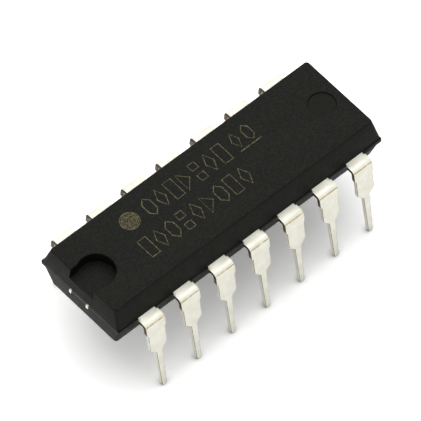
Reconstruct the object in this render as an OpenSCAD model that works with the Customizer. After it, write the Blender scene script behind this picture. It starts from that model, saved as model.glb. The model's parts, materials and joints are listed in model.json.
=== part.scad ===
// Dual in-line integrated circuit package: a drafted epoxy moulding round a stamped lead frame,
// with the die, its adhesive and its bond wires inside. It stands on its lead tips.
// Millimetres. +X runs along the package away from the notch, +Z is up,
// and the origin is on the ground at the centre.

/* [Moulded body] */
// Length of the body at its parting line
body_length = 19.3; // [18.9:0.05:20.2]
// Width of the body at its parting line
body_width = 6.45; // [6.1:0.05:6.8]
// Height of the body above the centre of the lead frame
upper_height = 1.5; // [1.35:0.05:2]
// Height of the body below the centre of the lead frame
lower_height = 1.6; // [1.3:0.05:2]
// Inward lean of each long side over the upper half
upper_side_draft = 0.455; // [0.1:0.005:0.6]
// Inward lean of each end over the upper half
upper_end_draft = 0.22; // [0.05:0.01:0.5]
// Inward lean of each long side over the lower half
lower_side_draft = 0.505; // [0.05:0.005:0.6]
// Inward lean of each end over the lower half
lower_end_draft = 0.185; // [0.05:0.005:0.5]
// Radius of the upright corners of both halves
corner_radius = 0.2; // [0.05:0.01:0.4]
// How far the seam of moulding flash stands out from both long sides and from the lower ends
seam_proud = 0.05; // [0.02:0.005:0.12]
// Radius of the seam's corners, which are sharper than the halves'
seam_corner_radius = 0.06; // [0.02:0.01:0.2]

/* [Pin 1 notch] */
// Radius of the round part of the notch
notch_radius = 1.11; // [0.8:0.01:1.3]
// Distance from the top end edge to the centre of the round part
notch_inset = 1; // [0.5:0.01:1.6]
// Width of the channel from the round part to the end of the body
notch_channel_width = 1.96; // [1:0.02:2.4]
// Depth of the notch
notch_depth = 0.72; // [0.3:0.02:0.9]

/* [Ejector marks] */
// Diameter of the round marks that the ejector pins leave
ejector_diameter = 1.6; // [1:0.1:2]
// Depth of the ejector marks
ejector_depth = 0.08; // [0.03:0.01:0.2]
// Distance from the centre of the body to each mark
ejector_offset = 8.1; // [6:0.1:8.3]

/* [Leads] */
// Leads along each side
leads_per_side = 7; // [7:1:7]
// Spacing of the leads along a side
lead_pitch = 2.54; // [2.4:0.01:2.6]
// Thickness of the lead frame sheet
sheet_thickness = 0.254; // [0.2:0.002:0.3]
// Width of the shoulder and of the upper leg
shoulder_width = 1.2; // [1:0.01:1.5]
// Distance from the parting line out to the outer face of a leg at the bend
shoulder_reach = 0.75; // [0.6:0.005:1.2]
// Inside radius of the bend
bend_radius = 0.1; // [0.06:0.01:0.3]
// Height of the lead frame centre above the lead tips
stand_height = 5.4; // [5:0.01:5.8]
// Height above the tips at which the wide part of the leg ends
wide_bottom = 3.36; // [3:0.01:3.5]
// Width of the narrow part of the leg at its top
tip_width = 0.44; // [0.38:0.01:0.56]
// Width to which the narrow part has tapered where the pointed end starts
end_width = 0.33; // [0.3:0.01:0.38]
// Width of the very end of the leg
point_width = 0.2; // [0.16:0.01:0.3]
// Length of the pointed end of the leg
point_length = 0.18; // [0.1:0.01:0.5]
// Outward lean of the legs, in degrees
splay_angle = 7; // [0:0.5:10]
// How far the sheared dam bar stubs stand out from the sides of a leg
stub_proud = 0.08; // [0.01:0.01:0.12]
// Distance from the parting line out to where the stubs start along the shoulder
stub_start = 0.12; // [0.05:0.01:0.3]
// Length of the stubs down the leg below the bend
stub_length = 0.55; // [0.3:0.05:1]

/* [Inside the body] */
// Length of the die pad
pad_length = 3.4; // [2.6:0.1:3.8]
// Width of the die pad
pad_width = 2.3; // [1.8:0.1:2.4]
// How far the die pad is pressed down below the lead frame
pad_downset = 0.3; // [0.1:0.01:0.5]
// Spacing of the two tie bars at each end
tie_spacing = 1.38; // [1:0.01:1.4]
// Width of a tie bar
tie_width = 0.16; // [0.12:0.01:0.28]
// Length of a tie bar's slope down to the pad
tie_slope_length = 0.5; // [0.3:0.05:1]
// How far the trimmed tie bars stand out of the ends
tie_proud = 0.1; // [0.02:0.01:0.15]
// Side of the square silicon die
die_side = 1.4; // [1:0.05:1.7]
// Thickness of the die
die_thickness = 0.28; // [0.2:0.01:0.38]
// Thickness of the adhesive under the die
attach_thickness = 0.03; // [0.02:0.005:0.06]
// How far the adhesive reaches out past the die
attach_margin = 0.1; // [0.05:0.01:0.2]
// Width of the inner lead fingers
finger_width = 0.3; // [0.25:0.01:0.34]
// Spacing of the finger tips round the pad
finger_tip_spacing = 0.93; // [0.9:0.01:1]
// Gap between the pad and the tips of the middle fingers
finger_gap = 0.3; // [0.25:0.01:0.35]
// Distance from the end of the pad to the centre of an end finger's tip
end_finger_reach = 0.66; // [0.5:0.01:0.8]
// Gap between a tie bar and the tip of the end finger beside it
tie_gap = 0.12; // [0.1:0.01:0.2]
// Length of a finger's wide root inside the body
root_length = 0.55; // [0.4:0.05:0.6]
// Spacing of the bond pads along an edge of the die
bond_pitch = 0.168; // [0.12:0.001:0.18]
// Distance from the edge of the die to the centres of its bond pads
bond_inset = 0.12; // [0.06:0.01:0.2]
// Distance from the end of a finger's tip back to its stitch
stitch_setback = 0.1; // [0.05:0.01:0.2]
// Diameter of a bond wire
wire_diameter = 0.033; // [0.025:0.001:0.05]
// Height of a bond wire's loop above the die
wire_loop = 0.22; // [0.15:0.01:0.4]
// Diameter of the ball and of the stitch that end a wire
bond_diameter = 0.09; // [0.06:0.005:0.12]
// Height of the ball and of the stitch
bond_height = 0.025; // [0.02:0.005:0.04]

/* [Hidden] */
$fn = 48;

lead_count = 2 * leads_per_side;
lead_names = [for (n = [1:lead_count]) str("lead_", n)];
wire_names = [for (n = [1:lead_count]) str("bond_wire_", n)];

// A cut reaches this far past the face that it opens
past = 1;
// Thickness of the slices between which a half of the body is stretched
slice_thickness = 0.002;
// Sides of a bond wire's section, and pieces along its loop
wire_sides = 8;
wire_steps = 8;

frame_top = stand_height + sheet_thickness / 2;
frame_bottom = stand_height - sheet_thickness / 2;
body_top = stand_height + upper_height;
body_bottom = stand_height - lower_height;
half_width = body_width - 2 * seam_proud;
top_length = body_length - 2 * upper_end_draft;

pad_top = frame_top - pad_downset;
die_bottom = pad_top + attach_thickness;
die_top = die_bottom + die_thickness;

leg_reach = body_width / 2 + shoulder_reach;
outer_bend_radius = bend_radius + sheet_thickness;
narrow_top = wide_bottom - (shoulder_width - tip_width) / 2;
stub_bottom = frame_bottom - bend_radius - stub_length;

middle = (leads_per_side - 1) / 2;

// Place of lead n along the row, counted from the middle of the row: the first row is at the front,
// from the notch end, and the second row comes back along the rear
function place(n) = n <= leads_per_side ? n - 1 - middle : lead_count - n - middle;
// The front row is on the -Y side
function side(n) = n <= leads_per_side ? -1 : 1;

// Plan of a lead finger: its wide root at the parting line, its knee, and its tip beside the pad.
// The knees and the tips step inwards from the middle lead to the end leads, and the end leads
// reach round to the ends of the pad, beside the tie bars.
knee_step = 0.12;
tip_step = 0.05;
function is_end(k) = abs(k) == middle;
function root_y() = body_width / 2 - root_length;
function knee(k) = [k * lead_pitch, root_y() - knee_step * abs(k)];
function end_finger_y() = (tie_spacing + tie_width + finger_width) / 2 + tie_gap;
function finger_tip(k) = is_end(k)
    ? [sign(k) * (pad_length / 2 + end_finger_reach), end_finger_y()]
    : [k * finger_tip_spacing, pad_width / 2 + finger_gap + finger_width / 2 - tip_step * k * k];

// Where a bond wire starts on the die, and where it lands on the finger
function die_end(k) = [k * bond_pitch, die_side / 2 - bond_inset];
function finger_end(k) = finger_tip(k) + unit(knee(k) - finger_tip(k)) * stitch_setback;
function unit(v) = v / norm(v);

// A flat bar in plan from a to b with round ends
module bar(a, b, width) {
    run = b - a;
    translate(a) {
        rotate(atan2(run.y, run.x))
            translate([0, -width / 2]) square([norm(run), width]);
        circle(d = width);
    }
    translate(b) circle(d = width);
}

// The four corners of the body's plan at one height
module corners(length, width, radius) {
    for (x = [-1, 1], y = [-1, 1])
        translate([x * (length / 2 - radius), y * (width / 2 - radius)])
            circle(radius, $fn = 32);
}

module slice(length, width, z) {
    translate([0, 0, z]) linear_extrude(slice_thickness) hull() corners(length, width, corner_radius);
}

// One drafted half: from the seam at z_seam, where it has the given length, to the flat face at z_face
module drafted_half(z_seam, z_face, length, end_draft, side_draft) {
    up = z_face > z_seam;
    hull() {
        slice(length, half_width, up ? z_seam : z_seam - slice_thickness);
        slice(length - 2 * end_draft, half_width - 2 * side_draft,
            up ? z_face - slice_thickness : z_face);
    }
}

// Keyhole notch that marks the pin 1 end: a round pocket and a channel to the end face
module notch_plan() {
    centre_x = -top_length / 2 + notch_inset;
    translate([centre_x, 0]) circle(notch_radius);
    translate([centre_x - body_length, -notch_channel_width / 2])
        square([body_length, notch_channel_width]);
}

module ejector_mark(x, z) {
    translate([x, 0, z - ejector_depth])
        cylinder(d = ejector_diameter, h = 2 * ejector_depth);
}

module encapsulant() {
    color([0.16, 0.16, 0.14]) difference() {
        union() {
            drafted_half(frame_top, body_top, body_length, upper_end_draft, upper_side_draft);
            translate([0, 0, frame_bottom]) linear_extrude(sheet_thickness)
                hull() corners(body_length, body_width, seam_corner_radius);
            drafted_half(frame_bottom, body_bottom, body_length - 2 * seam_proud,
                lower_end_draft, lower_side_draft);
        }
        translate([0, 0, body_top - notch_depth]) linear_extrude(notch_depth + past) notch_plan();
        ejector_mark(ejector_offset, body_top);
        for (x = [-1, 1]) ejector_mark(x * ejector_offset, body_bottom);
        for (n = [1:lead_count]) {
            lead_inside(n);
            wire_solid(n);
        }
        pad_solid();
        attach_solid();
        die_solid();
    }
}

// The flat part of a lead inside the moulding, from the tip of its finger to the parting line
module lead_inside(n) {
    k = place(n);
    translate([0, 0, frame_bottom]) linear_extrude(sheet_thickness)
        mirror([0, side(n) < 0 ? 1 : 0]) {
            translate([k * lead_pitch - shoulder_width / 2, root_y()])
                square([shoulder_width, root_length]);
            bar(knee(k), [k * lead_pitch, root_y() + finger_width / 2], finger_width);
            bar(finger_tip(k), knee(k), finger_width);
        }
}

// Side view of the shoulder, the bend and the leg: y outwards, z up
module bent_profile() {
    bend_centre = [leg_reach - outer_bend_radius, frame_bottom - bend_radius];
    leg_length = bend_centre.y + past;
    translate([body_width / 2, frame_bottom])
        square([bend_centre.x - body_width / 2, sheet_thickness]);
    translate(bend_centre) {
        intersection() {
            difference() {
                circle(outer_bend_radius);
                circle(bend_radius);
            }
            polygon([[0, 0], [0, 1], [1, 1], [1, splay_angle > 0 ? tan(splay_angle) : 0]]);
        }
        rotate(splay_angle) translate([bend_radius, -leg_length])
            square([sheet_thickness, leg_length]);
    }
}

// An outline from the points of its right-hand side, mirrored to the left
module both_sides(right) {
    left = [for (i = [len(right) - 1:-1:0]) [-right[i].x, right[i].y]];
    polygon(concat(right, left));
}

// Front view of the leg: wide below the shoulder, tapering to a narrow tip
module leg_outline() {
    both_sides([
        [point_width / 2, 0], [end_width / 2, point_length], [tip_width / 2, narrow_top],
        [shoulder_width / 2, wide_bottom], [shoulder_width / 2, frame_top + past],
    ]);
}

// Front view of the leg's top with its stubs, where the dam bar was sheared away
module stub_outline() {
    wide = shoulder_width / 2;
    both_sides([
        [wide, stub_bottom], [wide + stub_proud, stub_bottom + stub_proud],
        [wide + stub_proud, frame_top + past],
    ]);
}

// Fills a front view from a distance y outwards, past the leg
module filled_from(y) {
    rotate([90, 0, 0]) translate([0, 0, -2 * leg_reach]) linear_extrude(2 * leg_reach - y) children();
}

module lead(n) {
    k = place(n);
    color([0.85, 0.84, 0.78]) {
        lead_inside(n);
        mirror([0, side(n) < 0 ? 1 : 0]) translate([k * lead_pitch, 0]) intersection() {
            rotate([90, 0, 90]) translate([0, 0, -shoulder_width])
                linear_extrude(2 * shoulder_width) bent_profile();
            union() {
                filled_from(0) leg_outline();
                filled_from(body_width / 2 + stub_start) stub_outline();
            }
        }
    }
}

// Side view of the pad and one of its tie bars: x outwards, z up
module tie_profile() {
    slope_end = pad_length / 2 + tie_slope_length;
    end = body_length / 2 + tie_proud;
    polygon([
        [pad_length / 2 - tie_slope_length, pad_top], [pad_length / 2, pad_top],
        [slope_end, frame_top], [end, frame_top],
        [end, frame_bottom], [slope_end, frame_bottom],
        [pad_length / 2, pad_top - sheet_thickness],
        [pad_length / 2 - tie_slope_length, pad_top - sheet_thickness],
    ]);
}

module pad_solid() {
    translate([-pad_length / 2, -pad_width / 2, pad_top - sheet_thickness])
        cube([pad_length, pad_width, sheet_thickness]);
    for (end = [0, 1], y = [-1, 1])
        mirror([end, 0, 0]) translate([0, y * tie_spacing / 2 + tie_width / 2, 0])
            rotate([90, 0, 0]) linear_extrude(tie_width) tie_profile();
}

module die_pad() {
    color([0.72, 0.45, 0.3]) pad_solid();
}

module attach_solid() {
    side = die_side + 2 * attach_margin;
    translate([-side / 2, -side / 2, pad_top]) cube([side, side, attach_thickness]);
}

module die_attach() {
    color([0.75, 0.75, 0.72]) attach_solid();
}

module die_solid() {
    translate([-die_side / 2, -die_side / 2, die_bottom]) cube([die_side, die_side, die_thickness]);
}

module silicon_die() {
    color([0.35, 0.38, 0.45]) die_solid();
}

// Points of a bond wire: up off its ball, over in a flat loop, and down to its stitch
function wire_height(t) = 4 * t * (1 - t);
function wire_points(k) =
    let (
        a = [die_end(k).x, die_end(k).y, die_top + bond_height / 2],
        b = [finger_end(k).x, finger_end(k).y, frame_top + bond_height / 2]
    )
    [for (i = [0:wire_steps])
        let (t = i / wire_steps)
        a + (b - a) * t + [0, 0, wire_loop * wire_height(t)]];

// A thin wire swept along points, with level ends
module swept(points, diameter) {
    last = len(points) - 1;
    function along(i) = unit(points[min(i + 1, last)] - points[max(i - 1, 0)]);
    function level(v) = unit([v.x, v.y, 0]);
    function across(v) = cross([0, 0, 1], level(v));
    function ring(i) =
        let (
            forward = along(i),
            edge = across(forward),
            up = i == 0 ? -level(forward) : i == last ? level(forward) : cross(forward, edge)
        )
        [for (s = [0:wire_sides - 1])
            let (a = 360 * s / wire_sides)
            points[i] + diameter / 2 * (cos(a) * edge + sin(a) * up)];
    vertices = [for (i = [0:last]) each ring(i)];
    walls = [for (i = [0:last - 1], s = [0:wire_sides - 1])
        let (a = i * wire_sides + s, b = i * wire_sides + (s + 1) % wire_sides)
        each [[a, b, b + wire_sides], [a, b + wire_sides, a + wire_sides]]];
    start = [[for (s = [wire_sides - 1:-1:0]) s]];
    finish = [[for (s = [0:wire_sides - 1]) last * wire_sides + s]];
    polyhedron(vertices, concat(start, walls, finish));
}

module bond(at, z) {
    translate([at.x, at.y, z]) cylinder(d = bond_diameter, h = bond_height, $fn = 24);
}

module wire_solid(n) {
    k = place(n);
    mirror([0, side(n) < 0 ? 1 : 0]) {
        bond(die_end(k), die_top);
        bond(finger_end(k), frame_top);
        swept(wire_points(k), wire_diameter);
    }
}

module bond_wire(n) {
    color([0.95, 0.77, 0.35]) wire_solid(n);
}

encapsulant();
die_pad();
die_attach();
silicon_die();
for (n = [1:lead_count]) {
    lead(n);
    bond_wire(n);
}
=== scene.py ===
"""Looks of a fourteen-lead dual in-line chip: black moulded epoxy on matt tinned leads.

Sizes are in millimetres and become metres where a mesh is finished. +X runs along the body away
from the notch, +Z is up, and the lead tips stand on z = 0.
"""

import json
import math

import bmesh
import bpy
from bpy.props import FloatProperty, FloatVectorProperty, IntProperty, PointerProperty
from mathutils import Matrix, Vector

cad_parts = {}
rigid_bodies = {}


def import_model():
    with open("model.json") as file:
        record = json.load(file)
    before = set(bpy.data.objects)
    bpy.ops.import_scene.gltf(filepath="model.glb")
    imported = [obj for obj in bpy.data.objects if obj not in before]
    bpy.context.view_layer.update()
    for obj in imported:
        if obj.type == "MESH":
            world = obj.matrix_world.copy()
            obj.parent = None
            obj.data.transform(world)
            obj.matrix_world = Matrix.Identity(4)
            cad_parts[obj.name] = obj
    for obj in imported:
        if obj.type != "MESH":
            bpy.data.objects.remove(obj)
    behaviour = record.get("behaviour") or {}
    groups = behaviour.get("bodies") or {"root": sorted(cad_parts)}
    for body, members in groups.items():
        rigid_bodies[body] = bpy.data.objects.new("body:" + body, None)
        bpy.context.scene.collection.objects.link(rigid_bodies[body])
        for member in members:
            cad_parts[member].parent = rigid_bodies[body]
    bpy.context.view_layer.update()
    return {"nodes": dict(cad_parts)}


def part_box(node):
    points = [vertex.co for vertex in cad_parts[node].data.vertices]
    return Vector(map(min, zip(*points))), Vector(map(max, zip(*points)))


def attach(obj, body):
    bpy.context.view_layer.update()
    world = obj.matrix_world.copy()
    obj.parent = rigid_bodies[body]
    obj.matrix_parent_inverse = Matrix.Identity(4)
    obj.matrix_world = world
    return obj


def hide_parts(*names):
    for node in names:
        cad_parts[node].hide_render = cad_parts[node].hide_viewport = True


bl_info = {
    "name": "Dual In-line Chip",
    "version": (1, 0, 0),
    "blender": (4, 5, 0),
    "location": "3D View > Sidebar > Chip",
    "description": "Dresses the solid model of a dual in-line chip in epoxy, tin and laser marks",
    "category": "Object",
}

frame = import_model()

MM = 0.001
BODY = "root"
LEAD_COUNT = 14
LEADS = [f"lead_{n}" for n in range(1, LEAD_COUNT + 1)]
WIRES = [f"bond_wire_{n}" for n in range(1, LEAD_COUNT + 1)]
PITCH = 2.54
# Leads 1 to 7 run away from the notch along the front, and 8 to 14 come back along the rear
LEAD_CENTRES = {node: (min(n, LEAD_COUNT - 1 - n) - (LEAD_COUNT / 2 - 1) / 2) * PITCH
                for n, node in enumerate(LEADS)}


def high_corner(node):
    """Highest corner of a CAD node's box, in millimetres."""
    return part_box(node)[1] / MM


BODY_HIGH = high_corner("encapsulant")
TOP_Z = BODY_HIGH.z
# The leads' flat shoulders lie in the body's parting line
FRAME_TOP = high_corner("lead_1").z
# Sizes of the solids, in millimetres, that their boxes don't give
SHEET = 0.254
FRAME_BOTTOM = FRAME_TOP - SHEET
SHOULDER_WIDTH = 1.2
STUB_BOTTOM = 4.6
NOTCH_RADIUS = 1.11
NOTCH_DEPTH = 0.72
EJECTOR_PLACE = 8.1
EJECTOR_RADIUS = 0.8
# Numbers of the finishes on the body's faces and on a lead's, with painted shade, highlight and reflection
# among them
MATT, WALL_SHADE, SEAM_HIGHLIGHT, RIM_SHADE_AND_PRINT = range(4)
TINNED, SHEARED, BEND_SHADE, EDGE_REFLECTION = range(4)
# Numbers of the last two of the laser's stencils, after the five figures
BAR_STENCIL, SPOT_STENCIL = 5, 6
# Most of an upright face's normal that lies along z
UPRIGHT = 0.3
# Ends of the values that a noise mostly takes, and how far it moves a roughness either way
NOISE_LOW, NOISE_HIGH = 0.3, 0.7
SHEEN_SPREAD = 0.06


# Colours and node materials


def linear(hex_colour):
    """An sRGB hex colour as the linear RGBA that a shader socket takes."""
    value = hex_colour.lstrip("#")
    channels = [int(value[i : i + 2], 16) / 255 for i in (0, 2, 4)]
    return [c / 12.92 if c <= 0.04045 else ((c + 0.055) / 1.055) ** 2.4 for c in channels] + [1.0]


def fill_inputs(tree, node, **links):
    """Fills a node's inputs with values or with other nodes' outputs.

    An input is named with _ for a space, or with _ and its number.
    """
    for name, value in links.items():
        socket = node.inputs[int(name[1:]) if name[1:].isdigit() else name.replace("_", " ")]
        if isinstance(value, bpy.types.NodeSocket):
            tree.links.new(value, socket)
        else:
            socket.default_value = value


def add_node(tree, kind, settings=None, **links):
    """Adds a node with its settings, and fills its inputs.

    A colour ramp's stops are a setting too, as pairs of a position and a colour.
    """
    node = tree.nodes.new(kind)
    settings = dict(settings or {})
    for number, (position, colour) in enumerate(settings.pop("stops", ())):
        elements = node.color_ramp.elements
        element = elements[number] if number < len(elements) else elements.new(position)
        element.position = position
        element.color = colour
    for name, value in settings.items():
        setattr(node, name, value)
    fill_inputs(tree, node, **links)
    return node


def empty_tree(owner):
    """The node tree of a new material or world, without the nodes that it comes with."""
    owner.use_nodes = True
    owner.node_tree.nodes.clear()
    return owner.node_tree


def new_material(name, **constants):
    """A material with a Principled shader and its constant values, its tree and its Object coordinates."""
    material = bpy.data.materials.new(name)
    tree = empty_tree(material)
    shader = add_node(tree, "ShaderNodeBsdfPrincipled", **constants)
    add_node(tree, "ShaderNodeOutputMaterial", Surface=shader.outputs["BSDF"])
    place = add_node(tree, "ShaderNodeTexCoord").outputs["Object"]
    return material, tree, shader, place


def moulded_epoxy(name, settings, dark, pale, roughness, gloss):
    """Silica-filled epoxy: two close colours mottled by patches and grain, over the grain's fine bump."""
    material, tree, shader, place = new_material(name, Specular_IOR_Level=gloss)
    patches = add_node(tree, "ShaderNodeTexNoise", Vector=place, Scale=1 / settings.mottle_size,
                       Detail=4.0).outputs["Fac"]
    grain = add_node(tree, "ShaderNodeTexNoise", Vector=place, Scale=1 / settings.grain_size,
                     Detail=2.0).outputs["Fac"]
    mottle = add_node(tree, "ShaderNodeMix", {"data_type": "FLOAT"}, _0=settings.grain_share, A=patches,
                      B=grain).outputs["Result"]
    colour = add_node(tree, "ShaderNodeValToRGB", {"stops": [(0.35, dark), (0.65, pale)]}, Fac=mottle)
    sheen = add_node(tree, "ShaderNodeMapRange", Value=patches, From_Min=NOISE_LOW, From_Max=NOISE_HIGH,
                     To_Min=roughness - SHEEN_SPREAD, To_Max=roughness + SHEEN_SPREAD)
    relief = add_node(tree, "ShaderNodeBump", Height=grain, Distance=settings.grain_depth)
    fill_inputs(tree, shader, Base_Color=colour.outputs["Color"], Roughness=sheen.outputs["Result"],
                Normal=relief.outputs["Normal"])
    return material


def body_materials(settings):
    """The moulding's finishes, in the order in which its faces number them."""
    return [
        # Moulded against a spark-eroded tool: an even matt black with a faint olive mottle.
        moulded_epoxy("spark_matt_black_epoxy", settings, settings.epoxy_dark, settings.epoxy_pale,
                      roughness=0.58, gloss=settings.epoxy_gloss),
        # The walls drawn off the tool's pins, painted darker as shade, with nothing to catch the light.
        moulded_epoxy("wall_painted_shade_epoxy", settings, settings.wall_shade_dark, settings.wall_shade_pale,
                      roughness=0.7, gloss=settings.wall_gloss),
        # Squeezed between the two halves of the tool: a smoother line of flash, painted paler as a painted
        # highlight of the paper it faces.
        moulded_epoxy("parting_line_painted_highlight", settings, settings.seam_highlight_dark, settings.seam_highlight_pale,
                      roughness=0.5, gloss=settings.flash_gloss),
        # Painted shade along the long rounded rims of the top face, and the ejector pin's print: blotched
        # and a little darker.
        moulded_epoxy("rim_shade_and_print_epoxy", settings, settings.rim_shade_print_dark, settings.rim_shade_print_pale,
                      roughness=0.5, gloss=settings.epoxy_gloss),
    ]


def tin_material(settings):
    """Matt electroplated tin over copper: pale, faintly warm, with handling smudges. Its fine crystals
    scatter light as much as they mirror it."""
    material, tree, shader, place = new_material("matt_tin_plate", Metallic=settings.tin_metal)
    smudge = add_node(tree, "ShaderNodeTexNoise", Vector=place, Scale=1 / settings.smudge_size,
                      Detail=5.0).outputs["Fac"]
    stops = [(0.38, settings.tin_dull), (0.62, settings.tin_clean)]
    colour = add_node(tree, "ShaderNodeValToRGB", {"stops": stops}, Fac=smudge)
    sheen = add_node(tree, "ShaderNodeMapRange", Value=smudge, From_Min=NOISE_LOW, From_Max=NOISE_HIGH,
                     To_Min=settings.tin_roughness + SHEEN_SPREAD,
                     To_Max=settings.tin_roughness - SHEEN_SPREAD)
    # Rolling draws the lines out to about eight times their spacing, down the leg
    drawn = add_node(tree, "ShaderNodeMapping", Vector=place, Scale=(1.0, 1.0, 0.12)).outputs["Vector"]
    rolling = add_node(tree, "ShaderNodeTexNoise", Vector=drawn, Scale=1 / settings.rolling_size,
                       Detail=3.0).outputs["Fac"]
    relief = add_node(tree, "ShaderNodeBump", Height=rolling, Distance=settings.rolling_depth)
    fill_inputs(tree, shader, Base_Color=colour.outputs["Color"], Roughness=sheen.outputs["Result"],
                Normal=relief.outputs["Normal"])
    return material


def sheared_material(settings):
    """Copper alloy where the dam bar was sheared away: brown with tarnish down the leg, and painted nearly
    black as shade round the bend, where the stub lies in shade."""
    material, tree, shader, place = new_material("sheared_copper_with_shade", Metallic=0.8, Roughness=0.5)
    tarnish = add_node(tree, "ShaderNodeTexNoise", Vector=place, Scale=1 / settings.tarnish_size,
                       Detail=4.0).outputs["Fac"]
    stops = [(0.38, settings.copper_dark), (0.62, settings.copper_pale)]
    brown = add_node(tree, "ShaderNodeValToRGB", {"stops": stops}, Fac=tarnish).outputs["Color"]
    # Painted shade: the stub turns nearly black above a height, round the bend
    height = add_node(tree, "ShaderNodeSeparateXYZ", Vector=place).outputs["Z"]
    fade = 0.15 * MM
    shaded = add_node(tree, "ShaderNodeMapRange", Value=height, From_Min=settings.shade_height - fade,
                       From_Max=settings.shade_height + fade).outputs["Result"]
    colour = add_node(tree, "ShaderNodeMix", {"data_type": "RGBA"}, _0=shaded, A=brown,
                      B=settings.copper_shade)
    relief = add_node(tree, "ShaderNodeBump", Height=tarnish, Distance=0.006 * MM)
    fill_inputs(tree, shader, Base_Color=colour.outputs["Result"], Normal=relief.outputs["Normal"])
    return material


def painted_streak_tin(name, settings, painted_colour, streak, least_streak):
    """Tin with painted streaks of a darker colour that the clean tin breaks up: painted shade on the bend,
    painted reflection along the edges.
    """
    material, tree, shader, place = new_material(name, Metallic=1.0, Roughness=0.45)
    streak_noise = add_node(tree, "ShaderNodeTexNoise", Vector=place, Scale=1 / streak, Detail=3.0).outputs["Fac"]
    fade = 0.25
    stops = [(least_streak, painted_colour), (least_streak + fade, settings.tin_clean)]
    colour = add_node(tree, "ShaderNodeValToRGB", {"stops": stops}, Fac=streak_noise)
    relief = add_node(tree, "ShaderNodeBump", Height=streak_noise, Distance=0.004 * MM)
    fill_inputs(tree, shader, Base_Color=colour.outputs["Color"], Normal=relief.outputs["Normal"])
    return material


def lead_materials(settings):
    """The leads' finishes, in the order in which their faces number them."""
    return [
        tin_material(settings),
        sheared_material(settings),
        # Painted shade: a broken tan line across the outside of the bend, where its turn faces away from
        # the light.
        painted_streak_tin("bend_shade_tin", settings, settings.bend_shade, streak=0.3 * MM, least_streak=0.5),
        # Painted reflection: a dark olive hairline along the leg's rounded stamped edges.
        painted_streak_tin("edge_painted_reflection_tin", settings, settings.edge_reflection, streak=0.4 * MM, least_streak=0.55),
    ]


def frame_copper_material(settings):
    """Rolled copper alloy of the die pad: a clouded red, and bright where its tie bars were trimmed."""
    material, tree, shader, place = new_material("rolled_copper_alloy", Metallic=1.0, Roughness=0.35)
    along = add_node(tree, "ShaderNodeSeparateXYZ", Vector=place).outputs["X"]
    reach = add_node(tree, "ShaderNodeMath", {"operation": "ABSOLUTE"}, _0=along).outputs["Value"]
    at_end = add_node(tree, "ShaderNodeMath", {"operation": "GREATER_THAN"}, _0=reach,
                      _1=BODY_HIGH.x * MM - settings.trimmed_depth).outputs["Value"]
    cloud = add_node(tree, "ShaderNodeTexNoise", Vector=place, Scale=1 / settings.cloud_size).outputs["Fac"]
    stops = [(0.35, settings.pad_dark), (0.7, settings.pad_pale)]
    red = add_node(tree, "ShaderNodeValToRGB", {"stops": stops}, Fac=cloud).outputs["Color"]
    colour = add_node(tree, "ShaderNodeMix", {"data_type": "RGBA"}, _0=at_end, A=red, B=settings.trimmed)
    relief = add_node(tree, "ShaderNodeBump", Height=cloud, Distance=0.003 * MM)
    fill_inputs(tree, shader, Base_Color=colour.outputs["Result"], Normal=relief.outputs["Normal"])
    return material


def inner_material(name, dark, pale, grain, depth, **constants):
    """A small sealed piece: two close colours mottled over a fine bump, with a grain coarser than the
    real one, which is too fine to show."""
    material, tree, shader, place = new_material(name, **constants)
    mottle = add_node(tree, "ShaderNodeTexNoise", Vector=place, Scale=1 / grain).outputs["Fac"]
    colour = add_node(tree, "ShaderNodeValToRGB", {"stops": [(0.35, dark), (0.65, pale)]}, Fac=mottle)
    relief = add_node(tree, "ShaderNodeBump", Height=mottle, Distance=depth)
    fill_inputs(tree, shader, Base_Color=colour.outputs["Color"], Normal=relief.outputs["Normal"])
    return material


def mark_material(settings):
    """Epoxy scorched by a marking laser: a thin tan-grey crust that the black shows through."""
    material, tree, shader, place = new_material("laser_scorched_epoxy", Roughness=0.8,
                                                 Specular_IOR_Level=0.2)
    broken = add_node(tree, "ShaderNodeTexNoise", Vector=place, Scale=1 / settings.crust_size, Detail=3.0,
                      Roughness=0.7).outputs["Fac"]
    stops = [(0.36, settings.mark_dark), (0.5, settings.mark_mid), (0.66, settings.mark_pale)]
    colour = add_node(tree, "ShaderNodeValToRGB", {"stops": stops}, Fac=broken)
    relief = add_node(tree, "ShaderNodeBump", Height=broken, Distance=0.004 * MM)
    fill_inputs(tree, shader, Base_Color=colour.outputs["Color"], Normal=relief.outputs["Normal"])
    return material


# Meshes


def finish_piece(name, mesh, materials=()):
    """Links a finished mesh, already in metres, as a piece that rides on the body."""
    piece = bpy.data.objects.new(name, mesh)
    for material in materials:
        mesh.materials.append(material)
    bpy.context.scene.collection.objects.link(piece)
    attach(piece, BODY)
    return piece


def welded_copy(node):
    """The CAD node's mesh in millimetres, welded, with its flat faces whole again."""
    shape = bmesh.new()
    shape.from_mesh(frame["nodes"][node].data)
    bmesh.ops.transform(shape, matrix=Matrix.Scale(1 / MM, 4), verts=shape.verts)
    bmesh.ops.remove_doubles(shape, verts=shape.verts, dist=0.0004)
    bmesh.ops.dissolve_limit(shape, angle_limit=math.radians(0.4), verts=shape.verts, edges=shape.edges,
                             delimit={"NORMAL"})
    return shape


def sharp_edges(shape, least_fold, wanted=lambda edge: True):
    """Edges that fold by at least an angle, in degrees."""
    fold = math.radians(least_fold)
    return [e for e in shape.edges
            if len(e.link_faces) == 2 and e.calc_face_angle(0) > fold and wanted(e)]


def round_edges(shape, edges, radius, segments):
    """Rounds edges to a radius, in millimetres."""
    bmesh.ops.bevel(shape, geom=edges, offset=radius, offset_type="OFFSET", segments=segments,
                    profile=0.5, affect="EDGES", clamp_overlap=True)


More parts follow.
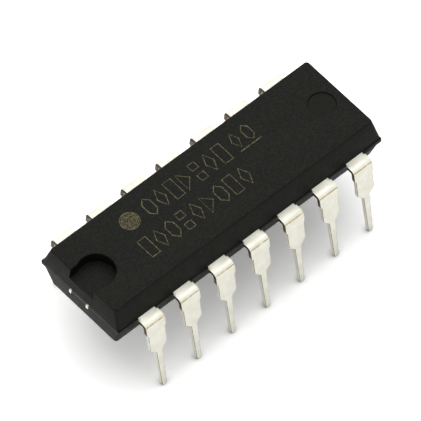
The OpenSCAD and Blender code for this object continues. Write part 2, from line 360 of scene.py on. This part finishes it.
def to_mesh(shape, name):
    """Turns millimetre geometry into a mesh in metres, smooth across shallow folds."""
    sharp_fold = math.radians(30)
    bmesh.ops.transform(shape, matrix=Matrix.Scale(MM, 4), verts=shape.verts)
    mesh = bpy.data.meshes.new(name)
    shape.to_mesh(mesh)
    shape.free()
    for polygon in mesh.polygons:
        polygon.use_smooth = True
    mesh.set_sharp_from_angle(angle=sharp_fold)
    return mesh


# Sizes and colours that a user may change


def length_prop(name, description, millimetres):
    """A length, given in millimetres, that the panel shows in the scene's own unit."""
    return FloatProperty(name=name, description=description, default=millimetres * MM, min=0.0,
                         unit="LENGTH", precision=6)


def point_prop(name, description, *millimetres):
    """A point in space, or on the top face where it has two coordinates, given in millimetres."""
    return FloatVectorProperty(name=name, description=description, size=len(millimetres),
                               default=[value * MM for value in millimetres], subtype="XYZ",
                               unit="LENGTH", precision=6)


def colour_prop(name, description, hex_colour):
    """A colour, given as sRGB hex."""
    return FloatVectorProperty(name=name, description=description, default=linear(hex_colour), size=4,
                               min=0.0, max=1.0, subtype="COLOR")


def angle_prop(name, description, degrees):
    """An angle, given in degrees."""
    return FloatProperty(name=name, description=description, default=math.radians(degrees),
                         subtype="ANGLE")


def share_prop(name, description, share):
    """A number from 0 to 1."""
    return FloatProperty(name=name, description=description, default=share, min=0.0, max=1.0,
                         subtype="FACTOR")


def number_prop(name, description, number, unit="NONE"):
    """A number from 0 up, with its unit where it has one."""
    return FloatProperty(name=name, description=description, default=number, min=0.0, unit=unit)


class ChipBodySettings(bpy.types.PropertyGroup):
    """The moulded body"""

    edge_radius: length_prop("Edge radius", "Rounding of the top face's edges", 0.06)
    grain_size: length_prop("Grain size", "Spacing of the grain, coarser than the real 0.02 mm so that it "
                            "shows", 0.11)
    grain_depth: length_prop("Grain depth", "Depth of the matt grain", 0.006)
    mottle_size: length_prop("Patch size", "Size of the faint patches of colour", 0.35)
    grain_share: share_prop("Grain share", "Share of the mottle that the grain makes", 0.7)
    epoxy_dark: colour_prop("Epoxy dark", "Darker colour of the matt epoxy", "#060508")
    epoxy_pale: colour_prop("Epoxy pale", "Paler colour of the matt epoxy", "#1a1d14")
    epoxy_gloss: share_prop("Epoxy gloss", "Specular level of the matt epoxy", 0.1)
    wall_shade_dark: colour_prop("Wall dark", "Darker colour of the notch's wall", "#080807")
    wall_shade_pale: colour_prop("Wall pale", "Paler colour of the notch's wall", "#0f0f0d")
    wall_gloss: share_prop("Wall gloss", "Specular level of the notch's wall", 0.03)
    rim_shade_print_dark: colour_prop("Rim shade and print dark", "Darker colour of the pin's print and of the rims' painted shade", "#010101")
    rim_shade_print_pale: colour_prop("Rim shade and print pale", "Paler colour of the pin's print and of the rims' painted shade", "#111208")
    seam_highlight_dark: colour_prop("Flash dark", "Darker colour of the parting line", "#121310")
    seam_highlight_pale: colour_prop("Flash pale", "Paler colour of the parting line", "#20211c")
    flash_gloss: share_prop("Flash gloss", "Specular level of the parting line", 0.1)


class ChipLeadSettings(bpy.types.PropertyGroup):
    """The leads"""

    edge_radius: length_prop("Edge radius", "Rounding of a stamped edge", 0.025)
    smudge_size: length_prop("Smudge size", "Size of the smudges on the tin", 0.5)
    rolling_size: length_prop("Rolling lines", "Spacing of the drawn lines, coarser than the real 0.02 mm "
                              "so that they show", 0.09)
    rolling_depth: length_prop("Rolling depth", "Depth of the drawn lines", 0.002)
    tarnish_size: length_prop("Tarnish size", "Size of the tarnish patches", 0.2)
    shade_height: length_prop("Shade height", "Height above which a sheared stub is nearly black", 5.15)
    tin_roughness: share_prop("Tin roughness", "Middle roughness of the tin", 0.42)
    tin_metal: share_prop("Tin metal", "Share of the tin's light that it mirrors", 0.26)
    tin_clean: colour_prop("Tin", "Clean tin", "#ebeadd")
    tin_dull: colour_prop("Dull tin", "Smudged tin", "#e3e2d2")
    copper_dark: colour_prop("Tarnish", "Dark sheared copper", "#3f260f")
    copper_pale: colour_prop("Copper", "Pale sheared copper", "#7d5a30")
    copper_shade: colour_prop("Shaded copper", "Sheared copper round the bend", "#15110c")
    bend_shade: colour_prop("Bend shade", "Colour of the rubbed line on the bend", "#b5a886")
    shade_from: angle_prop("Shade from", "Turn of the bend at which the rubbed line starts", 50)
    shade_to: angle_prop("Shade to", "Turn of the bend at which the rubbed line ends", 70)
    edge_reflection: colour_prop("Edge line", "Painted dark reflection along the leg's rounded edges", "#77735f")


class ChipMarkSettings(bpy.types.PropertyGroup):
    """The laser marks"""

    stroke: length_prop("Stroke", "Width of a laser stroke", 0.07)
    crust: length_prop("Crust", "Height of the scorched crust", 0.002)
    pitch: length_prop("Pitch", "Spacing of the figures along a row", 0.88)
    figure_height: length_prop("Figure height", "Height of a figure", 1.3)
    figure_width: length_prop("Figure width", "Width of a figure", 0.58)
    lower_row: point_prop("Lower row", "Centre of the lower row's first figure", -5.26, -0.75)
    upper_row: point_prop("Upper row", "Centre of the upper row's first figure", -3.48, 1.21)
    small_row: point_prop("Small pair", "Centre of the first small figure", 2.92, 1.36)
    small_share: share_prop("Small share", "Size of a small figure beside a large one", 0.86)
    bar: length_prop("Bar", "Length of the bar under the small figures", 1.5)
    bar_place: point_prop("Bar place", "Centre of the bar", 3.42, 0.6)
    spot: length_prop("Spot", "Diameter of the round spot", 1.2)
    spot_place: point_prop("Spot place", "Centre of the round spot", -4.92, 1.22)
    crust_size: length_prop("Crust grain", "Size of the broken crust's grains, coarser than the real "
                            "0.03 mm so that they show", 0.11)
    mark_dark: colour_prop("Mark dark", "Where the black shows through", "#2a2a1f")
    mark_mid: colour_prop("Mark middle", "The usual crust", "#55503b")
    mark_pale: colour_prop("Mark pale", "The thickest crust", "#7b704f")


class ChipInsideSettings(bpy.types.PropertyGroup):
    """The sealed pieces"""

    cloud_size: length_prop("Cloud size", "Size of the die pad's clouds of colour", 0.2)
    pad_dark: colour_prop("Pad dark", "Darker colour of the die pad", "#a8683f")
    pad_pale: colour_prop("Pad pale", "Paler colour of the die pad", "#c98a5c")
    trimmed: colour_prop("Trimmed end", "Freshly trimmed end of a tie bar", "#efe2d8")
    trimmed_depth: length_prop("Trimmed depth", "How deep the bright trimmed ends reach", 0.05)
    adhesive_dark: colour_prop("Adhesive dark", "Darker colour of the die's adhesive", "#a9a69c")
    adhesive_pale: colour_prop("Adhesive pale", "Paler colour of the die's adhesive", "#c9c7c0")
    silicon_dark: colour_prop("Silicon dark", "Darker colour of the die", "#3b414f")
    silicon_pale: colour_prop("Silicon pale", "Paler colour of the die", "#596275")
    gold_dark: colour_prop("Gold dark", "Darker colour of the bond wires", "#d9a441")
    gold_pale: colour_prop("Gold pale", "Paler colour of the bond wires", "#f0c869")


class ChipStageSettings(bpy.types.PropertyGroup):
    """The camera, the lamps and the floor"""

    azimuth: angle_prop("Azimuth", "Bearing of the camera", -40.7614)
    elevation: angle_prop("Elevation", "Height of the camera", 56.1547)
    roll: angle_prop("Roll", "Turn of the camera about its view", -0.9461)
    distance: length_prop("Distance", "Camera to the origin", 524.0)
    per_mm: number_prop("Pixels per mm", "Scale of the picture at the origin", 18.0475)
    origin_x: FloatProperty(name="Origin across", description="Column of the origin in the picture",
                            default=213.05, subtype="PIXEL")
    origin_y: FloatProperty(name="Origin down", description="Row of the origin in the picture",
                            default=255.2, subtype="PIXEL")
    picture: IntProperty(name="Picture", description="Side of the square picture", default=421,
                         subtype="PIXEL")
    key_power: number_prop("Key lamp", "Power of the key lamp", 0.42, unit="POWER")
    key_size: length_prop("Key size", "Diameter of the key lamp", 340)
    key_place: point_prop("Key place", "Centre of the key lamp", 45, 55, 220)
    fill_power: number_prop("Fill lamp", "Power of the fill lamp", 0.05, unit="POWER")
    fill_size: length_prop("Fill size", "Diameter of the fill lamp", 160)
    fill_place: point_prop("Fill place", "Centre of the fill lamp", -220, -20, 100)
    sky: number_prop("Sky", "Strength of the plain sky", 0.66)
    sky_seen: number_prop("Sky seen", "Strength of the sky where it is seen or mirrored", 1.0)
    floor_size: length_prop("Floor size", "Side of the square floor", 6000)
    floor_level: share_prop("Floor level", "Grey level of the paper floor", 0.85)
    floor_seen: number_prop("Floor seen", "Grey level of the floor where it is seen or mirrored, past "
                            "one so that it clips to white outside the shadow", 1.3)
    contact_reach: length_prop("Contact reach", "How far a lead tip darkens the paper under it", 0.35)
    contact_depth: number_prop("Contact depth", "Power of a lead tip's darkening", 1.0)


# Operators


class ChipBody(bpy.types.Operator):
    """Round the rim of the moulded body and give its faces their epoxy"""

    bl_idname = "chip.body"
    bl_label = "Moulded body"

    def execute(self, context):
        settings = context.scene.chip_body
        shape = welded_copy("encapsulant")
        crust = context.scene.chip_marks.crust / MM
        self.sink_top(shape, crust)
        below_top = TOP_Z - 2 * crust
        rims = sharp_edges(shape, least_fold=50,
                           wanted=lambda edge: all(v.co.z > below_top for v in edge.verts))
        if not rims:
            raise RuntimeError("The moulded body has no rim round its top face")
        round_edges(shape, rims, settings.edge_radius / MM, segments=3)
        self.dress(shape)
        piece = finish_piece("moulded_body", to_mesh(shape, "moulded_body"), body_materials(settings))
        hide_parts("encapsulant")
        return {"FINISHED"}

    def sink_top(self, shape, crust):
        """Lowers the top face by the height of the laser marks, which then end at the solid's own top."""
        slack = 0.001
        for vertex in shape.verts:
            if vertex.co.z > TOP_Z - slack:
                vertex.co.z = TOP_Z - crust

    def dress(self, shape):
        """The walls of the notch and of the pin's print and the long rims have painted shade, the print's
        floor a darker finish of its own, and the parting line a painted highlight."""
        shape.normal_update()
        rim, slack, end_margin = 0.06, 0.01, 0.3
        notch_end = BODY_HIGH.x - end_margin
        # Shares of a face's normal across the body, where the face is part of a rounded rim
        least_lean, most_lean = 0.3, 0.97
        for face in shape.faces:
            middle = face.calc_center_median()
            upright = abs(face.normal.z) < UPRIGHT
            # The long rounded rims of the top face get painted shade
            on_long_rim = middle.z > TOP_Z - rim and least_lean < abs(face.normal.y) < most_lean
            sunken = TOP_Z - NOTCH_DEPTH < middle.z < TOP_Z - slack
            # The upright walls of the notch and of the print get painted shade
            in_notch = sunken and abs(middle.y) < NOTCH_RADIUS and -notch_end < middle.x < 0
            in_print = sunken and math.hypot(middle.x - EJECTOR_PLACE, middle.y) < EJECTOR_RADIUS + slack
            # The parting line's band gets a painted highlight
            in_band = FRAME_BOTTOM - slack < middle.z < FRAME_TOP + slack
            on_seam = abs(middle.y) > BODY_HIGH.y - rim or abs(middle.x) > BODY_HIGH.x - rim
            face.material_index = (WALL_SHADE if upright and (in_notch or in_print)
                                   else SEAM_HIGHLIGHT if in_band and on_seam
                                   else RIM_SHADE_AND_PRINT if in_print or on_long_rim else MATT)


class ChipLeads(bpy.types.Operator):
    """Round the stamped edges of the leads, tin them, and bare the copper where they were sheared"""

    bl_idname = "chip.leads"
    bl_label = "Leads"

    def execute(self, context):
        settings = context.scene.chip_leads
        finishes = lead_materials(settings)
        for node in LEADS:
            shape = welded_copy(node)
            edges = sharp_edges(shape, least_fold=40)
            if not edges:
                raise RuntimeError(node + " has no edges to round")
            round_edges(shape, edges, settings.edge_radius / MM, segments=2)
            self.dress(shape, LEAD_CENTRES[node], settings)
            piece = finish_piece("tinned_" + node, to_mesh(shape, "tinned_" + node), finishes)
            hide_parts(node)
        return {"FINISHED"}

    def dress(self, shape, centre, settings):
        """Copper shows on the sheared stubs and on the cut tip, painted shade runs across the bend, and a
        painted dark reflection runs down the leg's edges."""
        shape.normal_update()
        from_z, to_z = math.cos(settings.shade_from), math.cos(settings.shade_to)
        stub_side = SHOULDER_WIDTH / 2 + 0.02
        bend_side = BODY_HIGH.y + 0.1
        tip_top = 0.05
        # Shares of a face's normal along the body's length: flat of the strip, rounded edge, sheared side
        most_flat, least_lean, most_lean, least_side = 0.2, 0.3, 0.98, 0.6
        downwards = -0.9
        for face in shape.faces:
            middle = face.calc_center_median()
            across = abs(face.normal.x)
            outwards = face.normal.y * middle.y > 0
            on_stub = abs(middle.x - centre) > stub_side and middle.z > STUB_BOTTOM
            on_tip = face.normal.z < downwards and middle.z < tip_top
            # The band of the bend's turn that gets painted shade
            on_bend = abs(middle.y) > bend_side and to_z < face.normal.z < from_z
            on_leg = middle.z < STUB_BOTTOM and abs(face.normal.z) < UPRIGHT
            # The leg's rounded edges get a painted dark reflection
            on_edge = on_leg and outwards and least_lean < across < most_lean
            face.material_index = (SHEARED if on_stub and across > least_side or on_tip
                                   else BEND_SHADE if on_bend and outwards and across < most_flat
                                   else EDGE_REFLECTION if on_edge else TINNED)


class ChipMarks(bpy.types.Operator):
    """Scorch two rows of plain figures, a bar and a round spot into the top of the body"""

    bl_idname = "chip.marks"
    bl_label = "Laser marks"

    def execute(self, context):
        settings = context.scene.chip_marks
        stencils = self.stencils(settings)
        places = bpy.data.objects.new("mark_places", self.places(settings))
        context.scene.collection.objects.link(places)
        tree = self.stroke_tree()
        modifier = places.modifiers.new("strokes", "NODES")
        modifier.node_group = tree
        values = {"Stencils": stencils, "Stroke": settings.stroke, "Crust": settings.crust,
                  "Material": mark_material(settings)}
        # A modifier takes each input by its socket's identifier
        for item in tree.interface.items_tree:
            if item.item_type == "SOCKET" and item.in_out == "INPUT" and item.name in values:
                modifier[item.identifier] = values[item.name]
        depsgraph = context.evaluated_depsgraph_get()
        mesh = bpy.data.meshes.new_from_object(places.evaluated_get(depsgraph))
        if not mesh.polygons:
            raise RuntimeError("The laser strokes came out empty")
        mesh.name = "laser_marks"
        bpy.data.objects.remove(places)
        for stencil in list(stencils.objects):
            bpy.data.objects.remove(stencil)
        bpy.data.collections.remove(stencils)
        finish_piece("laser_marks", mesh)
        return {"FINISHED"}

    def stencils(self, settings):
        """Lines of points, closed where there are more than two, that the places pick by number."""
        wide, high = settings.figure_width / 2, settings.figure_height / 2
        square = 0.8 * settings.figure_width
        bar, spot = settings.bar / 2, settings.spot / 2
        corners = 24
        ring = [(math.cos(2 * math.pi * step / corners), math.sin(2 * math.pi * step / corners))
                for step in range(corners)]
        rings = (0.14, 0.3, 0.46, 0.62, 0.78, 0.94)
        # A rectangle, a diamond, a hexagon, two squares, a triangle, the bar, and the spot's rings
        loops = [
            [[(-wide, -high), (wide, -high), (wide, high), (-wide, high)]],
            [[(0, -high), (wide, 0), (0, high), (-wide, 0)]],
            [[(0, -high), (wide, -high / 2), (wide, high / 2), (0, high), (-wide, high / 2),
              (-wide, -high / 2)]],
            [[(-square / 2, side * (high - square)), (square / 2, side * (high - square)),
              (square / 2, side * high), (-square / 2, side * high)] for side in (-1, 1)],
            [[(-wide, -high), (wide, 0), (-wide, high)]],
            [[(-bar, 0), (bar, 0)]],
            [[(spot * part * x, spot * part * y) for x, y in ring] for part in rings],
        ]
        collection = bpy.data.collections.new("mark_stencils")
        for number, outlines in enumerate(loops):
            points, edges = [], []
            for outline in outlines:
                first = len(points)
                points += [(x, y, 0) for x, y in outline]
                edges += [(first + i, first + (i + 1) % len(outline)) for i in range(len(outline))
                          if len(outline) > 2 or i == 0]
            mesh = bpy.data.meshes.new(f"stencil_{number}")
            mesh.from_pydata(points, edges, [])
            collection.objects.link(bpy.data.objects.new(f"stencil_{number}", mesh))
        return collection

    def places(self, settings):
        """Points on the top face, each with the number of its stencil and its scale."""
        rows = [
            (settings.lower_row, 1.0, (0, 1, 2, 3, 1, 4, 2, 0, 1)),
            (settings.upper_row, 1.0, (2, 1, 0, 4, 3, 1, 0)),
            (settings.small_row, settings.small_share, (1, 2)),
            (settings.bar_place, 1.0, (BAR_STENCIL,)),
            (settings.spot_place, 1.0, (SPOT_STENCIL,)),
        ]
        level = TOP_Z * MM - settings.crust / 2
        points, figures, shares = [], [], []
        for start, share, numbers in rows:
            for step, number in enumerate(numbers):
                points.append((start[0] + step * settings.pitch, start[1], level))
                figures.append(number)
                shares.append(share)
        mesh = bpy.data.meshes.new("mark_places")
        mesh.from_pydata(points, [], [])
        mesh.attributes.new("figure", "INT", "POINT").data.foreach_set("value", figures)
        mesh.attributes.new("share", "FLOAT", "POINT").data.foreach_set("value", shares)
        return mesh

    def stroke_tree(self):
        """Gives each stencil a flat stroke and sets it on its place."""
        tree = bpy.data.node_groups.new("laser_strokes", "GeometryNodeTree")
        for name, kind in [("Geometry", "Geometry"), ("Stencils", "Collection"), ("Stroke", "Float"),
                           ("Crust", "Float"), ("Material", "Material")]:
            tree.interface.new_socket(name, in_out="INPUT", socket_type="NodeSocket" + kind)
        tree.interface.new_socket("Geometry", in_out="OUTPUT", socket_type="NodeSocketGeometry")
        given = add_node(tree, "NodeGroupInput").outputs
        stencils = add_node(tree, "GeometryNodeCollectionInfo", Collection=given["Stencils"],
                            Separate_Children=True, Reset_Children=True)
        lines = add_node(tree, "GeometryNodeMeshToCurve", Mesh=stencils.outputs["Instances"])
        section = add_node(tree, "GeometryNodeCurvePrimitiveQuadrilateral", Width=given["Stroke"],
                           Height=given["Crust"])
        strokes = add_node(tree, "GeometryNodeCurveToMesh", Curve=lines.outputs["Curve"],
                           Profile_Curve=section.outputs["Curve"], Fill_Caps=True)
        figure = add_node(tree, "GeometryNodeInputNamedAttribute", {"data_type": "INT"}, Name="figure")
        share = add_node(tree, "GeometryNodeInputNamedAttribute", {"data_type": "FLOAT"}, Name="share")
        placed = add_node(tree, "GeometryNodeInstanceOnPoints", Points=given["Geometry"],
                          Instance=strokes.outputs["Mesh"], Pick_Instance=True,
                          Instance_Index=figure.outputs["Attribute"], Scale=share.outputs["Attribute"])
        real = add_node(tree, "GeometryNodeRealizeInstances", Geometry=placed.outputs["Instances"])
        dressed = add_node(tree, "GeometryNodeSetMaterial", Geometry=real.outputs["Geometry"],
                           Material=given["Material"])
        add_node(tree, "NodeGroupOutput", Geometry=dressed.outputs["Geometry"])
        return tree


class ChipInside(bpy.types.Operator):
    """Give the sealed pieces their materials"""

    bl_idname = "chip.inside"
    bl_label = "Inside pieces"

    def execute(self, context):
        settings = context.scene.chip_inside
        # Drawn through a die: smooth, bright yellow.
        gold = inner_material("drawn_gold", settings.gold_dark, settings.gold_pale, grain=0.05 * MM,
                              depth=0.0005 * MM, Metallic=1.0, Roughness=0.25)
        finishes = {wire: gold for wire in WIRES}
        finishes["die_pad"] = frame_copper_material(settings)
        # Dispensed and cured: pale grey flake in resin, slightly lumpy.
        finishes["die_attach"] = inner_material("silver_filled_adhesive", settings.adhesive_dark,
                                                settings.adhesive_pale, grain=0.08 * MM,
                                                depth=0.004 * MM, Metallic=0.6, Roughness=0.5)
        # Sawn from a polished wafer: a smooth, dark blue-grey mirror.
        finishes["silicon_die"] = inner_material("polished_silicon", settings.silicon_dark,
                                                 settings.silicon_pale, grain=0.2 * MM,
                                                 depth=0.0005 * MM, Metallic=0.4, Roughness=0.2)
        for node, material in finishes.items():
            materials = frame["nodes"][node].data.materials
            materials.clear()
            materials.append(material)
        return {"FINISHED"}


class ChipStage(bpy.types.Operator):
    """Set up the camera, the lamps, the sky and a white floor that keeps the shadow"""

    bl_idname = "chip.stage"
    bl_label = "Stage"

    def execute(self, context):
        settings = context.scene.chip_stage
        self.camera(context, settings)
        self.floor(context, settings)
        self.lamps(context, settings)
        self.sky(context, settings)
        context.scene.view_settings.view_transform = "Standard"
        return {"FINISHED"}

    def camera(self, context, settings):
        """Aims the camera so that the origin falls on its own pixel of the picture."""
        azimuth, elevation, roll = settings.azimuth, settings.elevation, settings.roll
        back = Vector((math.sin(azimuth) * math.cos(elevation), -math.cos(azimuth) * math.cos(elevation),
                       math.sin(elevation)))
        right = Vector((math.cos(azimuth), math.sin(azimuth), 0))
        up = back.cross(right)
        right, up = (right * math.cos(roll) + up * math.sin(roll),
                     up * math.cos(roll) - right * math.sin(roll))
        eye = back * settings.distance
        centre = settings.picture / 2
        per_metre = settings.per_mm / MM
        aim = (right * (centre - settings.origin_x) + up * (settings.origin_y - centre)) / per_metre
        view = (eye - aim).normalized()
        side = up.cross(view).normalized()
        data = bpy.data.cameras.new("photo_camera")
        data.sensor_width = 36
        data.sensor_fit = "HORIZONTAL"
        data.lens = per_metre * settings.distance / settings.picture * data.sensor_width
        data.clip_start = 0.01
        data.clip_end = 10
        camera = bpy.data.objects.new("photo_camera", data)
        turned = Matrix((side, view.cross(side), view)).transposed().to_4x4()
        camera.matrix_world = Matrix.Translation(eye) @ turned
        context.scene.collection.objects.link(camera)
        context.scene.camera = camera

    def seen(self, tree):
        """One for the rays that show the background, from the camera or off metal and glass."""
        path = add_node(tree, "ShaderNodeLightPath")
        value = path.outputs["Is Camera Ray"]
        for other in ("Is Glossy Ray", "Is Transmission Ray"):
            value = add_node(tree, "ShaderNodeMath", {"operation": "MAXIMUM"}, _0=value,
                             _1=path.outputs[other]).outputs["Value"]
        return value

    def floor(self, context, settings):
        """Lays the square of paper that the tips stand on."""
        half = settings.floor_size / 2
        mesh = bpy.data.meshes.new("paper_floor")
        corners = [(-half, -half, 0), (half, -half, 0), (half, half, 0), (-half, half, 0)]
        mesh.from_pydata(corners, [], [(0, 1, 2, 3)])
        floor = bpy.data.objects.new("paper_floor", mesh)
        mesh.materials.append(self.paper(settings))
        context.scene.collection.objects.link(floor)

    def paper(self, settings):
        """White paper that is seen as white but keeps the shadow, with painted contact shade where a lead
        tip touches it.
        """
        material = bpy.data.materials.new("white_paper")
        tree = empty_tree(material)
        # Painted contact shade: the seen paper darkens where nearby open air is blocked
        open_air = add_node(tree, "ShaderNodeAmbientOcclusion", {"samples": 16},
                            Distance=settings.contact_reach).outputs["AO"]
        shade = add_node(tree, "ShaderNodeMath", {"operation": "POWER"}, _0=open_air,
                         _1=settings.contact_depth).outputs["Value"]
        white = add_node(tree, "ShaderNodeMath", {"operation": "MULTIPLY"}, _0=shade,
                         _1=settings.floor_seen).outputs["Value"]
        level = add_node(tree, "ShaderNodeMix", {"data_type": "FLOAT"}, _0=self.seen(tree),
                         A=settings.floor_level, B=white).outputs["Result"]
        paper = add_node(tree, "ShaderNodeBsdfDiffuse", Color=level)
        add_node(tree, "ShaderNodeOutputMaterial", Surface=paper.outputs["BSDF"])
        return material

    def lamps(self, context, settings):
        """Hangs two round soft lamps, each turned to the origin."""
        for name, power, across, centre in [
            ("key_lamp", settings.key_power, settings.key_size, settings.key_place),
            ("fill_lamp", settings.fill_power, settings.fill_size, settings.fill_place),
        ]:
            data = bpy.data.lights.new(name, "AREA")
            data.shape = "DISK"
            data.size = across
            data.energy = power
            lamp = bpy.data.objects.new(name, data)
            lamp.location = centre
            lamp.rotation_euler = (-lamp.location).to_track_quat("-Z", "Y").to_euler()
            context.scene.collection.objects.link(lamp)

    def sky(self, context, settings):
        """A plain white sky all round, brighter where it is seen."""
        world = bpy.data.worlds.new("plain_sky")
        tree = empty_tree(world)
        level = add_node(tree, "ShaderNodeMix", {"data_type": "FLOAT"}, _0=self.seen(tree), A=settings.sky,
                         B=settings.sky_seen).outputs["Result"]
        background = add_node(tree, "ShaderNodeBackground", Color=(1, 1, 1, 1), Strength=level)
        add_node(tree, "ShaderNodeOutputWorld", Surface=background.outputs["Background"])
        context.scene.world = world


class ChipPanel(bpy.types.Panel):
    """The chip's steps, in the order in which they run"""

    bl_idname = "VIEW3D_PT_chip"
    bl_label = "Dual in-line chip"
    bl_space_type = "VIEW_3D"
    bl_region_type = "UI"
    bl_category = "Chip"

    def draw(self, context):
        for name, (group, operator) in STEPS.items():
            box = self.layout.box()
            box.operator(operator.bl_idname)
            for key in group.__annotations__:
                box.prop(getattr(context.scene, name), key)


STEPS = {
    "chip_body": (ChipBodySettings, ChipBody),
    "chip_leads": (ChipLeadSettings, ChipLeads),
    "chip_marks": (ChipMarkSettings, ChipMarks),
    "chip_inside": (ChipInsideSettings, ChipInside),
    "chip_stage": (ChipStageSettings, ChipStage),
}
CLASSES = [kind for step in STEPS.values() for kind in step] + [ChipPanel]


def register():
    for kind in CLASSES:
        bpy.utils.register_class(kind)
    for name, (group, _) in STEPS.items():
        setattr(bpy.types.Scene, name, PointerProperty(type=group))


def unregister():
    for name in STEPS:
        delattr(bpy.types.Scene, name)
    for kind in reversed(CLASSES):
        bpy.utils.unregister_class(kind)


def main():
    register()
    bpy.ops.chip.body()
    bpy.ops.chip.leads()
    bpy.ops.chip.marks()
    bpy.ops.chip.inside()
    bpy.ops.chip.stage()


if __name__ == "__main__":
    main()
